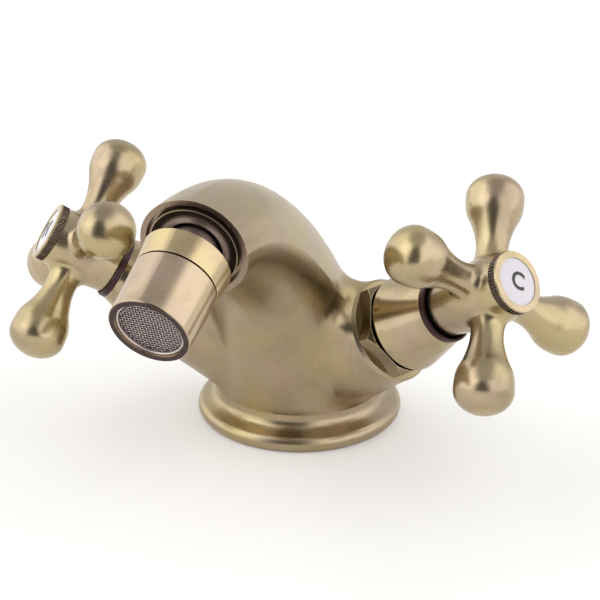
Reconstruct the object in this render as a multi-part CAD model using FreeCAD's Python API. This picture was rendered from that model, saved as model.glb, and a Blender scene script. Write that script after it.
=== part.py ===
"""Two-handle basin-deck mixer with ball-ended cross handles and a swivelling outlet.

Millimetres, +Z up.  The origin is the centre of the base flange's underside, on the
fixing stud's axis.  +X is the cold side, -Y is the front, where the outlet points.
Every valve piece is drawn along its own valve axis first: its local Z runs from the
casting out through the handle, and local Z = 0 lies on the casting's centre line.
"""

import FreeCAD, Part
import math
import os

from FreeCAD import Matrix, Placement, Rotation, Vector

os.makedirs("parts", exist_ok=True)

# ---------------------------------------------------------------- casting, base
FLANGE_R = 30.0
FLANGE_LIP_H = 4.7
FLANGE_FOOT_INSET = 1.5
FLANGE_LIP_INSET = 1.2
FLANGE_COVE_TOP = 9.6
FLANGE_COVE_SHARPNESS = 4
FLANGE_COVE_SHARES = (0, 0.12, 0.4, 1)
FLANGE_COVE_LEAD = 3
WAIST_R = 24.6
GASKET_OUTER_R = 27.0
GASKET_WIDTH = 3.0
GASKET_DEPTH = 1.6
STUD_HOLE_R = 3.4
STUD_HOLE_DEPTH = 12.0
INLET_R = 4.46
INLET_THREAD_DEPTH = 11.0
INLET_X = 11.0
INLET_Y = -5.0
INLET_BORE_R = 3.6

# ---------------------------------------------------------------- casting, neck
SOCKET_Y = -82.1
SOCKET_Z = 81.4
SOCKET_DIP = 13.6
SOCKET_R = 13.75
NECK_RISE_Y = -17.2
NECK_RISE_Z = 52.6
NECK_RISE_R = 16.9
NECK_CREST_Y = -46.2
NECK_CREST_Z = 79.0
NECK_CREST_R = 14.3
NECK_STATIONS = 9
LEVEL_TURN_END = 0.3
LIP_TURN_START = 0.72
WATERWAY_R = 7.0
WATERWAY_START = 0.22
WATERWAY_END = 0.9
CROSSING_R = 3.5
CROSSING_Y = -10.0
CROSSING_Z = 36.0
CROSSING_HALF = 22.0

# ---------------------------------------------------------------- valve axes
AXIS_Z = 13.93
AXIS_RISE = 32.25
AXIS_FORWARD = 23.74
BOSS_FACE = 41.2
BOSS_R = 14.7
BOSS_ROOT_R = 18.5
BOSS_TAPER = 0.4
BOSS_TAPER_H = 8.0
BOSS_EDGE = 0.8
BOSS_BLEND = 8.0
CHAMBER_R = 8.0
SEAT_PLANE = 22.0
SEAT_HOLE_R = 4.0
SEAT_LIP_H = 1.0
SEAT_LIP_W = 0.9
SEAT_HOLE_END = 12.0

# ---------------------------------------------------------------- headwork
THREAD_FIT = 0.05
HEADWORK_INNER = 32.0
HEADWORK_SHOULDER_R = 9.6
HEADWORK_SHOULDER_H = 1.6
HEADWORK_TOWER_R = 7.0
HEADWORK_TOP = 54.5
HEADWORK_SEAL_WIRE = 1.2
SPINDLE_SCREW_R = 5.2
SPINDLE_SCREW_H = 14.6
SPINDLE_BORE_STEP = 47.0
SPINDLE_SEAL_AT = 48.4
SPINDLE_SEAL_WIRE = 1.2
SPINDLE_TOP = -2.0
SPINDLE_TOP_CHAMFER = 0.5
SPINDLE_R = 4.0
SPINDLE_FIT = 0.06
SEAT_GAP = 0.05
WASHER_R = 6.4
WASHER_H = 2.0
JUMPER_R = 6.8
JUMPER_H = 2.0
JUMPER_PIN_R = 1.9
JUMPER_PIN_LENGTH = 6.0

# ---------------------------------------------------------------- locknut, sleeve
NUT_H = 5.0
NUT_CORNER_R = 14.6
NUT_ROUNDING_R = 14.7
NUT_PHASE = 26.8
NUT_CHAMFER_R = 13.2
NUT_CHAMFER_H = 1.5
NUT_BACK_CHAMFER = 0.6
SLEEVE_GAP = 0.9
SLEEVE_THREAD_H = 3.0
SLEEVE_RIM_H = 2.6
SLEEVE_RIM_R = 12.9
SLEEVE_BASE_R = 13.32
SLEEVE_BASE_ROUND = 0.9
SLEEVE_END = 61.4
SLEEVE_END_R = 9.24
RING_END = 63.1
RING_INNER_R = 8.5
RING_EDGE = 0.3

# ---------------------------------------------------------------- handles
COLD_HANDLE = 78.98
VALVE_TRAVEL = 4.79
COLD_PHASE = -38.0
HOT_PHASE = -34.8
SKIRT_END = -17.4
SKIRT_END_R = 7.6
SKIRT_LIP_R = 7.7
SKIRT_LIP_H = 1.6
SKIRT_WALL = 0.9
SKIRT_HOLLOW = 5.0
SKIRT_FLARE_AT = -12.0
SKIRT_FLARE_R = 8.1
HUB_SWELL_AT = -7.0
HUB_SWELL_R = 8.84
HUB_WIDEST_AT = -1.0
HUB_R = 9.3
HUB_SHOULDER_AT = 4.2
HUB_SHOULDER_R = 8.93
HUB_TOP = 7.6
HUB_TOP_R = 8.0
HUB_SOCKET_R = 6.6
HUB_SOCKET_DEPTH = 3.2
ARM_BALL_AT = 28.0
ARM_BALL_R = 7.95
ARM_BALL_HALF_LENGTH = 6.3
ARM_NECK_AT = 14.5
ARM_NECK_R = 4.5
ARM_ROOT_AT = 5.0
ARM_ROOT_R = 6.4
ARM_ROOT_SLOPE = -0.6
ARM_SWELL_AT = 20.5
ARM_SWELL_R = 6.3
ARM_COUNT = 4
ARM_BLEND = 3.0
SCREW_HEAD_R = 4.2
SCREW_HEAD_H = 2.2
SCREW_SHANK_R = 2.0
SCREW_LENGTH = 9.0
SCREW_SLOT_W = 1.0
SCREW_SLOT_DEPTH = 0.9
INDEX_FRONT = 10.33
INDEX_R = 8.38
INDEX_DISC_R = 6.45
INDEX_DISC_H = 1.5
INDEX_DISC_CROWN = 0.35
INDEX_DISC_HALFWAY = 0.26
INDEX_LIP = 0.25
INDEX_LEDGE = 1.2
INDEX_BEZEL_H = 0.5
INDEX_BEZEL_EDGE = 0.18
INDEX_SPIGOT_H = 0.6
KNURL_COUNT = 60
KNURL_DEPTH = 0.22

# ---------------------------------------------------------------- ball-jointed outlet
BALL_BEHIND = 2.1
BALL_R = 7.0
BALL_BORE_R = 3.6
BALL_FLAT = 5.4
BALL_ROOM = 1.2
SLIP_GAP = 0.06
SLIP_WALL = 0.8
SLIP_HALF = 1.5
COLLAR_R = 11.3
COLLAR_FRONT = 2.65
COLLAR_RIM_W = 0.35
COLLAR_DISH_AT = 2.6
COLLAR_DISH_W = 0.9
COLLAR_DISH_SAG = 1.1
COLLAR_BACK = -4.6
COLLAR_THREAD_R = 9.5
COLLAR_THREAD_FRONT = -0.1
COLLAR_BORE_R = 6.2
SOCKET_BORE_R = 12.3
SOCKET_SEAL_H = 0.9
SOCKET_SEAL_INNER_R = 8.3
NOZZLE_DIP = 24.7
NOZZLE_YAW = -4.1
SWIVEL_BACK = 6.42
SWIVEL_BACK_R = 11.33
SWIVEL_WALL = 0.9
SWIVEL_STEP = 1.0
SEAM_AT = 13.19
SEAM_R = 10.66
SEAM_GAP = 0.25
STEM_R = 4.9
STEM_FLANGE_R = 9.2
STEM_FLANGE_AT = 9.4
STEM_FLANGE_H = 2.2
STEM_END = 17.5
STEM_END_R = 8.3
SHELL_END = 29.29
SHELL_END_R = 10.21
SHELL_BORE_R = 8.65
SHELL_EDGE = 0.3
AERATOR_WASHER_H = 1.2
THROTTLE_H = 1.2
THROTTLE_HOLES = 8
THROTTLE_PITCH_R = 3.6
THROTTLE_HOLE_R = 0.6
INSERT_BORE_R = 5.6
MESH_RECESS = 0.7
MESH_RIM_H = 0.9
MESH_RIM_ROUND = 0.25
MESH_RIM_W = 0.6
MESH_THICKNESS = 0.35
MESH_PITCH = 0.80
MESH_WIRE = 0.34

# ---------------------------------------------------------------- clearances
FACE_GAP = 0.02
SOFT_GAP = 0.05
POLE_R = 0.2
JOIN_TOLERANCE = 0.02
OVERSHOOT = 1.0

# ---------------------------------------------------------------- sizes that follow
SLEEVE_BASE = BOSS_FACE + NUT_H + SLEEVE_GAP
SLEEVE_THREAD_TOP = SLEEVE_BASE + SLEEVE_THREAD_H
CLOSED_HANDLE = COLD_HANDLE - VALVE_TRAVEL
MESH_FRONT = SHELL_END - MESH_RECESS - MESH_RIM_H
MESH_BACK = MESH_FRONT - MESH_THICKNESS
INSIDE_R = SHELL_BORE_R - FACE_GAP


# ================================================================ helpers
def frame_on(origin, direction, upward):
    """Placement whose local Z is direction and whose local X is nearest to upward."""
    z_axis = Vector(direction).normalize()
    x_axis = Vector(upward) - z_axis * Vector(upward).dot(z_axis)
    x_axis.normalize()
    y_axis = z_axis.cross(x_axis)
    matrix = Matrix(
        x_axis.x, y_axis.x, z_axis.x, origin.x,
        x_axis.y, y_axis.y, z_axis.y, origin.y,
        x_axis.z, y_axis.z, z_axis.z, origin.z,
        0, 0, 0, 1,
    )
    return Placement(matrix)


def placed(shape, placement):
    """Copy of a shape moved into another frame."""
    moved = shape.copy()
    moved.Placement = placement.multiply(shape.Placement)
    return moved


def turned(points):
    """Solid turned about local Z from (radius, height) corners of its half section."""
    corners = [Vector(radius, 0, height) for radius, height in points]
    wire = Part.makePolygon(corners + [corners[0]])
    return Part.Face(wire).revolve(Vector(0, 0, 0), Vector(0, 0, 1), 360)


def turned_edges(edges):
    """Solid turned about local Z from the joined edges of its half section."""
    face = Part.Face(Part.Wire(edges))
    return face.revolve(Vector(0, 0, 0), Vector(0, 0, 1), 360)


def line(start, end):
    """Straight edge between two (radius, height) points of a half section."""
    return Part.LineSegment(Vector(start[0], 0, start[1]), Vector(end[0], 0, end[1])).toShape()


def arc(start, middle, end):
    """Round edge through three (radius, height) points of a half section."""
    points = [Vector(radius, 0, height) for radius, height in (start, middle, end)]
    return Part.Arc(*points).toShape()


def flowing(points, start_slope=None, end_slope=None):
    """Smooth edge through (radius, height) points of a half section."""
    curve = Part.BSplineCurve()
    knots = [Vector(radius, 0, height) for radius, height in points]
    if start_slope is None:
        curve.interpolate(Points=knots)
    else:
        first = Vector(start_slope[0], 0, start_slope[1])
        last = Vector(end_slope[0], 0, end_slope[1])
        curve.interpolate(Points=knots, InitialTangent=first, FinalTangent=last)
    return curve.toShape()


def rod(radius, low, high):
    """Cylinder on local Z between two heights."""
    return Part.makeCylinder(radius, high - low, Vector(0, 0, low))


def tube(outer, inner, low, high):
    """Plain ring on local Z between two heights."""
    return rod(outer, low, high).cut(rod(inner, low - OVERSHOOT, high + OVERSHOOT))


def seal_ring(mean_radius, wire, height):
    """O-ring of round section, centred at a height on local Z."""
    return Part.makeTorus(mean_radius, wire / 2, Vector(0, 0, height))


def ball_zone(radius, low, high):
    """Slice of a ball about the origin, between two heights on local Z."""
    slab = rod(radius * 2, low, high)
    return Part.makeSphere(radius).common(slab)


def lies_on(edge, surface):
    """Whether an edge runs along a surface for its whole length."""
    first, last = edge.ParameterRange
    for share in (0.2, 0.5, 0.8):
        point = edge.valueAt(first + (last - first) * share)
        if Part.Vertex(point).distToShape(surface)[0] > JOIN_TOLERANCE:
            return False
    return True


def join_smoothly(main, branches, radius):
    """Fuse branches to a main solid and round the hollow corners where they meet it."""
    whole = main.fuse(branches).removeSplitter()
    main_skin = Part.Shell(main.Faces)
    branch_skins = [Part.Shell(branch.Faces) for branch in branches]
    corners = []
    for edge in whole.Edges:
        skins = [skin for skin in branch_skins if lies_on(edge, skin)]
        if len(skins) > 1 or (skins and lies_on(edge, main_skin)):
            corners.append(edge)
    return whole.makeFillet(radius, corners)


def export(shape, name):
    """Write one finished piece and print its volume, so that a bad solid shows."""
    solids = len(shape.Solids)
    print(f"{name}: {solids} solid(s), {shape.Volume / 1000:.2f} cm3, valid {shape.isValid()}")
    shape.exportStep(f"parts/{name}.step")


# ================================================================ frames
def valve_frame(side):
    """Frame of the cold (+1) or hot (-1) valve, with its origin on the centre line."""
    rise = math.radians(AXIS_RISE)
    forward = math.radians(AXIS_FORWARD)
    direction = Vector(
        side * math.cos(rise) * math.cos(forward),
        -math.cos(rise) * math.sin(forward),
        math.sin(rise),
    )
    return frame_on(Vector(0, 0, AXIS_Z), direction, Vector(0, 0, 1))


def outlet_direction(dip, yaw):
    """Unit vector that points forward, dips below level and turns towards the cold side."""
    dip_angle = math.radians(dip)
    yaw_angle = math.radians(yaw)
    return Vector(
        math.cos(dip_angle) * math.sin(yaw_angle),
        -math.cos(dip_angle) * math.cos(yaw_angle),
        -math.sin(dip_angle),
    )


SOCKET_DIRECTION = outlet_direction(SOCKET_DIP, 0)
SOCKET_CENTRE = Vector(0, SOCKET_Y, SOCKET_Z)
BALL_CENTRE = SOCKET_CENTRE - SOCKET_DIRECTION * BALL_BEHIND
SOCKET_FRAME = frame_on(BALL_CENTRE, SOCKET_DIRECTION, Vector(0, 0, 1))
NOZZLE_FRAME = frame_on(BALL_CENTRE, outlet_direction(NOZZLE_DIP, NOZZLE_YAW), Vector(0, 0, 1))


# ================================================================ casting
def blend(share, values):
    """Cubic blend of four control values, from the first (0) to the last (1)."""
    rest = 1 - share
    weights = (rest**3, 3 * share * rest**2, 3 * share**2 * rest, share**3)
    total = values[0] * weights[0]
    for value, weight in zip(values[1:], weights[1:]):
        total = total + value * weight
    return total


def neck_point(share):
    """Point of the neck's centre line, from the waist (0) to the socket's face (1)."""
    waist = Vector(0, 0, FLANGE_COVE_TOP)
    rise = Vector(0, NECK_RISE_Y, NECK_RISE_Z)
    crest = Vector(0, NECK_CREST_Y, NECK_CREST_Z)
    return blend(share, (waist, rise, crest, SOCKET_CENTRE))


def neck_direction(share):
    """Direction square to the neck's section: up at the waist, the socket's at its end."""
    step = 0.001
    along = (neck_point(share + step) - neck_point(share - step)).normalize()
    to_waist = max(0, 1 - share / LEVEL_TURN_END)
    to_socket = max(0, (share - LIP_TURN_START) / (1 - LIP_TURN_START))
    turned_up = along * (1 - to_waist) + Vector(0, 0, 1) * to_waist
    return (turned_up * (1 - to_socket) + SOCKET_DIRECTION * to_socket).normalize()


def neck_radius(share):
    """Outer radius of the neck, which thins smoothly from the waist to the socket."""
    return blend(share, (WAIST_R, NECK_RISE_R, NECK_CREST_R, SOCKET_R))


def section_circle(share, radius):
    """Round section of the neck."""
    circle = Part.Circle(neck_point(share), neck_direction(share), radius)
    return Part.Wire(circle.toShape())


def neck_outside():
    """Solid trunk and neck, from the waist to the socket's face."""
    shares = [index / (NECK_STATIONS - 1) for index in range(NECK_STATIONS)]
    sections = [section_circle(share, neck_radius(share)) for share in shares]
    return Part.makeLoft(sections, True, False)


def waterway():
    """Channel through the neck, from the crossing to the back of the socket."""
    span = WATERWAY_END - WATERWAY_START
    steps = [index / (NECK_STATIONS - 1) for index in range(NECK_STATIONS)]
    sections = [section_circle(WATERWAY_START + span * step, WATERWAY_R) for step in steps]
    return Part.makeLoft(sections, True, False)


def flange():
    """Base flange with its rounded lip."""
    lip_middle = (FLANGE_R, FLANGE_LIP_H / 2)
    foot = (FLANGE_R - FLANGE_FOOT_INSET, 0)
    lip_top = (FLANGE_R - FLANGE_LIP_INSET, FLANGE_LIP_H)
    edges = [
        line((0, 0), foot),
        arc(foot, lip_middle, lip_top),
        line(lip_top, (0, FLANGE_LIP_H)),
        line((0, FLANGE_LIP_H), (0, 0)),
    ]
    return turned_edges(edges)


def cove():
    """Hollow flare that carries the trunk's outside smoothly down onto the flange's lip."""
    height = FLANGE_COVE_TOP - FLANGE_LIP_H
    spread = FLANGE_R - FLANGE_LIP_INSET - WAIST_R
    sections = []
    for share in FLANGE_COVE_SHARES:
        centre = Vector(0, 0, FLANGE_LIP_H + height * share)
        radius = WAIST_R + spread * (1 - share) ** FLANGE_COVE_SHARPNESS
        sections.append(Part.Wire(Part.Circle(centre, Vector(0, 0, 1), radius).toShape()))
    for index in range(1, FLANGE_COVE_LEAD + 1):
        share = index / (NECK_STATIONS - 1)
        sections.append(section_circle(share, neck_radius(share)))
    flare = Part.makeLoft(sections, True, False)
    return flare.common(rod(FLANGE_R, FLANGE_LIP_H, FLANGE_COVE_TOP))


def boss():
    """Outer arm of the casting along local Z, ending in the flat locknut face."""
    return turned(
        [
            (0, 0),
            (BOSS_ROOT_R, 0),
            (BOSS_R + BOSS_TAPER, BOSS_FACE - BOSS_TAPER_H),
            (BOSS_R, BOSS_FACE - BOSS_EDGE),
            (BOSS_R - BOSS_EDGE, BOSS_FACE),
            (0, BOSS_FACE),
        ]
    )


def valve_chamber():
    """Space cut into one arm: threaded bore, chamber and hole, round a raised seat."""
    seat_outer = SEAT_HOLE_R + SEAT_LIP_W
    bore = rod(CHAMBER_R, SEAT_PLANE - SEAT_LIP_H, BOSS_FACE + OVERSHOOT)
    lip = rod(seat_outer, SEAT_PLANE - SEAT_LIP_H - OVERSHOOT, SEAT_PLANE)
    hole = rod(SEAT_HOLE_R, SEAT_HOLE_END, SEAT_PLANE + OVERSHOOT)
    counterbore_floor = BOSS_FACE - HEADWORK_SHOULDER_H - HEADWORK_SEAL_WIRE
    shoulder = rod(HEADWORK_SHOULDER_R + THREAD_FIT, counterbore_floor, BOSS_FACE + OVERSHOOT)
    return bore.cut(lip).fuse([hole, shoulder])


def socket_space():
    """Space cut into the neck's end for the collar and the ball, in the socket's frame."""
    mouth = rod(SOCKET_BORE_R, COLLAR_THREAD_FRONT, BALL_BEHIND + OVERSHOOT)
    thread = rod(COLLAR_THREAD_R + FACE_GAP, COLLAR_BACK - SOCKET_SEAL_H, COLLAR_THREAD_FRONT + OVERSHOOT)
    return mouth.fuse([thread, Part.makeSphere(BALL_R + BALL_ROOM)])


def mixer_body():
    """The casting: flange, trunk and neck with two arms, and its waterways cut."""
    span = 4 * BOSS_FACE
    above_cove = Part.makeBox(span, span, span, Vector(-span / 2, -span / 2, FLANGE_COVE_TOP))
    arms = [placed(boss(), valve_frame(side)).common(above_cove) for side in (1, -1)]
    outside = join_smoothly(neck_outside(), arms, BOSS_BLEND)
    outside = outside.fuse([cove(), flange()]).removeSplitter()
    cuts = [placed(socket_space(), SOCKET_FRAME), waterway()]
    for side in (1, -1):
        frame = valve_frame(side)
        cuts.append(placed(valve_chamber(), frame))
        inlet_top = frame.multVec(Vector(0, 0, SEAT_HOLE_END)).z + OVERSHOOT
        foot = Vector(side * INLET_X, INLET_Y, 0)
        cuts.append(Part.makeCylinder(INLET_R, INLET_THREAD_DEPTH, foot))
        cuts.append(Part.makeCylinder(INLET_BORE_R, inlet_top, foot))
    crossing_start = Vector(-CROSSING_HALF, CROSSING_Y, CROSSING_Z)
    cuts.append(Part.makeCylinder(CROSSING_R, 2 * CROSSING_HALF, crossing_start, Vector(1, 0, 0)))
    cuts.append(Part.makeCylinder(STUD_HOLE_R, STUD_HOLE_DEPTH))
    cuts.append(tube(GASKET_OUTER_R, GASKET_OUTER_R - GASKET_WIDTH, -OVERSHOOT, GASKET_DEPTH))
    body = outside
    for cut in cuts:
        body = body.cut(cut)
    return body


def base_gasket():
    """Flat ring of square section, pressed into the groove under the flange."""
    return tube(
        GASKET_OUTER_R - SOFT_GAP,
        GASKET_OUTER_R - GASKET_WIDTH + SOFT_GAP,
        0,
        GASKET_DEPTH - FACE_GAP,
    )


# ================================================================ valve, fixed pieces
def headwork():
    """Screwed valve body: thread, shoulder in the counterbore, tower and spindle bore."""
    thread_r = CHAMBER_R - THREAD_FIT
    shoulder_low = BOSS_FACE - HEADWORK_SHOULDER_H + FACE_GAP
    outside = turned(
        [
            (0, HEADWORK_INNER),
            (thread_r, HEADWORK_INNER),
            (thread_r, shoulder_low),
            (HEADWORK_SHOULDER_R, shoulder_low),
            (HEADWORK_SHOULDER_R, BOSS_FACE),
            (thread_r, BOSS_FACE),
            (thread_r, SLEEVE_THREAD_TOP),
            (HEADWORK_TOWER_R, SLEEVE_THREAD_TOP),
            (HEADWORK_TOWER_R, HEADWORK_TOP),
            (0, HEADWORK_TOP),
        ]
    )
    screw_bore = rod(SPINDLE_SCREW_R + SPINDLE_FIT, HEADWORK_INNER - OVERSHOOT, SPINDLE_BORE_STEP)
    plain_bore = rod(SPINDLE_R + SPINDLE_FIT, SPINDLE_BORE_STEP - OVERSHOOT, HEADWORK_TOP + OVERSHOOT)
    return outside.cut(screw_bore).cut(plain_bore)


def locknut():
    """Hexagon nut with both faces chamfered, tight on the casting's arm."""
    nut_top = BOSS_FACE + NUT_H
    corners = []
    for index in range(7):
        angle = math.radians(NUT_PHASE + 60 * index)
        x = NUT_CORNER_R * math.cos(angle)
        y = NUT_CORNER_R * math.sin(angle)
        corners.append(Vector(x, y, BOSS_FACE))
    prism = Part.Face(Part.makePolygon(corners)).extrude(Vector(0, 0, NUT_H))
    rounding = turned(
        [
            (0, BOSS_FACE),
            (NUT_CORNER_R - NUT_BACK_CHAMFER, BOSS_FACE),
            (NUT_ROUNDING_R, BOSS_FACE + NUT_BACK_CHAMFER),
            (NUT_ROUNDING_R, nut_top - NUT_CHAMFER_H),
            (NUT_CHAMFER_R, nut_top),
            (0, nut_top),
        ]
    )
    bore = rod(CHAMBER_R, BOSS_FACE - OVERSHOOT, nut_top + OVERSHOOT)
    return prism.common(rounding).cut(bore)


def sleeve():
    """Tapered cover over the headwork, screwed on at its base and open at its end."""
    cone_start = SLEEVE_BASE + SLEEVE_RIM_H
    bulge = SLEEVE_BASE_ROUND * (1 - math.sqrt(0.5))
    round_start = (SLEEVE_BASE_R - SLEEVE_BASE_ROUND, SLEEVE_BASE)
    round_middle = (SLEEVE_BASE_R - bulge, SLEEVE_BASE + bulge)
    round_end = (SLEEVE_BASE_R, SLEEVE_BASE + SLEEVE_BASE_ROUND)
    edges = [
        line((CHAMBER_R, SLEEVE_BASE), round_start),
        arc(round_start, round_middle, round_end),
        line(round_end, (SLEEVE_RIM_R, cone_start)),
        line((SLEEVE_RIM_R, cone_start), (SLEEVE_END_R, SLEEVE_END)),
        line((SLEEVE_END_R, SLEEVE_END), (RING_INNER_R, SLEEVE_END)),
        line((RING_INNER_R, SLEEVE_END), (RING_INNER_R, SLEEVE_THREAD_TOP)),
        line((RING_INNER_R, SLEEVE_THREAD_TOP), (CHAMBER_R, SLEEVE_THREAD_TOP)),
        line((CHAMBER_R, SLEEVE_THREAD_TOP), (CHAMBER_R, SLEEVE_BASE)),
    ]
    return turned_edges(edges)


def sleeve_ring():
    """Dark collar ring that ends the sleeve and leaves room for the handle's skirt."""
    low = SLEEVE_END + FACE_GAP
    return turned(
        [
            (RING_INNER_R, low),
            (SLEEVE_END_R, low),
            (SLEEVE_END_R, RING_END - RING_EDGE),
            (SLEEVE_END_R - RING_EDGE, RING_END),
            (RING_INNER_R, RING_END),
        ]
    )


def headwork_seal():
    """O-ring under the headwork's shoulder, on the floor of the counterbore."""
    wire = HEADWORK_SEAL_WIRE - 2 * FACE_GAP
    height = BOSS_FACE - HEADWORK_SHOULDER_H - HEADWORK_SEAL_WIRE / 2
    return seal_ring((CHAMBER_R + HEADWORK_SHOULDER_R) / 2, wire, height)


# ================================================================ valve, moving pieces
def washer_low(handle):
    """Height of the valve washer's sealing face for a handle's place on its axis."""
    return SEAT_PLANE + SEAT_GAP + handle - CLOSED_HANDLE


def valve_washer(handle):
    """Soft disc that closes the seat, with a hole for the jumper's button."""
    low = washer_low(handle)
    return tube(WASHER_R, JUMPER_PIN_R, low, low + WASHER_H)


def jumper(handle):
    """Plate that carries the washer, with a button below and a pin up into the spindle."""
    low = washer_low(handle) + WASHER_H + FACE_GAP
    button_low = washer_low(handle) + FACE_GAP
    plate = rod(JUMPER_R, low, low + JUMPER_H)
    button = rod(JUMPER_PIN_R - FACE_GAP, button_low, low)
    pin = rod(JUMPER_PIN_R - FACE_GAP, low, low + JUMPER_H + JUMPER_PIN_LENGTH)
    return plate.fuse([button, pin])


def spindle(handle):
    """Spindle: coarse screw at its foot, sealed shank above and a squared-off top."""
    low = washer_low(handle) + WASHER_H + JUMPER_H + 2 * SEAT_GAP
    screw_top = low + SPINDLE_SCREW_H
    top = handle + SPINDLE_TOP
    seal_at = SPINDLE_SEAL_AT + handle - CLOSED_HANDLE
    groove_r = SPINDLE_R - SPINDLE_SEAL_WIRE
    outside = turned(
        [
            (0, low),
            (SPINDLE_SCREW_R, low),
            (SPINDLE_SCREW_R, screw_top),
            (SPINDLE_R, screw_top + SPINDLE_SCREW_R - SPINDLE_R),
            (SPINDLE_R, seal_at - SPINDLE_SEAL_WIRE / 2),
            (groove_r, seal_at - SPINDLE_SEAL_WIRE / 2),
            (groove_r, seal_at + SPINDLE_SEAL_WIRE / 2),
            (SPINDLE_R, seal_at + SPINDLE_SEAL_WIRE / 2),
            (SPINDLE_R, top - SPINDLE_TOP_CHAMFER),
            (SPINDLE_R - SPINDLE_TOP_CHAMFER, top),
            (0, top),
        ]
    )
    pin_bore = rod(JUMPER_PIN_R + SPINDLE_FIT, low - OVERSHOOT, low + JUMPER_PIN_LENGTH + OVERSHOOT)
    screw_bore = rod(SCREW_SHANK_R + FACE_GAP, top - SCREW_LENGTH, top + OVERSHOOT)
    return outside.cut(pin_bore).cut(screw_bore)


def spindle_seal(handle):
    """O-ring in the spindle's groove, just inside the headwork's bore."""
    wire = SPINDLE_SEAL_WIRE - FACE_GAP
    height = SPINDLE_SEAL_AT + handle - CLOSED_HANDLE
    return seal_ring(SPINDLE_R - SPINDLE_SEAL_WIRE / 2 + FACE_GAP, wire, height)


def handle_arm():
    """One arm with its ball end, turned about local Z from the hub's centre."""
    tip = ARM_BALL_AT + ARM_BALL_HALF_LENGTH
    root = (ARM_ROOT_R, ARM_ROOT_AT)
    centre = Vector(0, 0, ARM_BALL_AT)
    widest = Vector(ARM_BALL_R, 0, ARM_BALL_AT)
    oval = Part.Ellipse(widest, Vector(0, 0, tip), centre)
    tip_angle = math.acos(POLE_R / ARM_BALL_R)
    tip_height = ARM_BALL_AT + ARM_BALL_HALF_LENGTH * math.sin(tip_angle)
    edges = [
        line((0, ARM_ROOT_AT), root),
        flowing(
            [
                root,
                (ARM_NECK_R, ARM_NECK_AT),
                (ARM_SWELL_R, ARM_SWELL_AT),
                (ARM_BALL_R, ARM_BALL_AT),
            ],
            (ARM_ROOT_SLOPE, 1),
            (0, 1),
        ),
        Part.Arc(oval, 0, tip_angle).toShape(),
        line((POLE_R, tip_height), (0, tip_height)),
        line((0, tip_height), (0, ARM_ROOT_AT)),
    ]
    return turned_edges(edges)


def cross_handle(handle, phase):
    """Cross handle: hub with skirt and screw socket, and four arms at right angles."""
    skirt_lip = (SKIRT_LIP_R, SKIRT_END + SKIRT_LIP_H)
    edges = [
        line((0, SKIRT_END), (SKIRT_END_R, SKIRT_END)),
        line((SKIRT_END_R, SKIRT_END), skirt_lip),
        flowing(
            [
                skirt_lip,
                (SKIRT_FLARE_R, SKIRT_FLARE_AT),
                (HUB_SWELL_R, HUB_SWELL_AT),
                (HUB_R, HUB_WIDEST_AT),
                (HUB_SHOULDER_R, HUB_SHOULDER_AT),
                (HUB_TOP_R, HUB_TOP),
            ]
        ),
        line((HUB_TOP_R, HUB_TOP), (0, HUB_TOP)),
        line((0, HUB_TOP), (0, SKIRT_END)),
    ]
    hub = turned_edges(edges)
    arms = []
    for index in range(ARM_COUNT):
        turn = Rotation(Vector(0, 0, 1), phase + index * 360 / ARM_COUNT)
        outward = turn.multVec(Vector(1, 0, 0))
        arms.append(placed(handle_arm(), frame_on(Vector(0, 0, 0), outward, Vector(0, 0, 1))))
    whole = join_smoothly(hub, arms, ARM_BLEND)
    spindle_bore = rod(SPINDLE_R + FACE_GAP, SKIRT_END - OVERSHOOT, SPINDLE_TOP + SEAT_GAP)
    screw_bore = rod(SCREW_SHANK_R + SOFT_GAP, SPINDLE_TOP - OVERSHOOT, HUB_TOP + OVERSHOOT)
    head_socket = rod(HUB_SOCKET_R, HUB_TOP - HUB_SOCKET_DEPTH, HUB_TOP + OVERSHOOT)
    hollow = turned(
        [
            (0, SKIRT_END - OVERSHOOT),
            (SKIRT_END_R - SKIRT_WALL, SKIRT_END - OVERSHOOT),
            (SKIRT_END_R - SKIRT_WALL, SKIRT_END + SKIRT_HOLLOW),
            (0, SKIRT_END + SKIRT_HOLLOW),
        ]
    )
    for cut in (spindle_bore, screw_bore, head_socket, hollow):
        whole = whole.cut(cut)
    return placed(whole, Placement(Vector(0, 0, handle), Rotation()))


def handle_screw(handle):
    """Slotted screw that holds the handle down on the spindle."""
    seat = handle + HUB_TOP - HUB_SOCKET_DEPTH + FACE_GAP
    screw_top = seat + SCREW_HEAD_H
    head = rod(SCREW_HEAD_R, seat, screw_top)
    shank = rod(SCREW_SHANK_R, seat - SCREW_LENGTH, seat)
    slot = Part.makeBox(
        4 * SCREW_HEAD_R,
        SCREW_SLOT_W,
        SCREW_SLOT_DEPTH + OVERSHOOT,
        Vector(-2 * SCREW_HEAD_R, -SCREW_SLOT_W / 2, screw_top - SCREW_SLOT_DEPTH),
    )
    return head.fuse([shank]).cut(slot)


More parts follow.
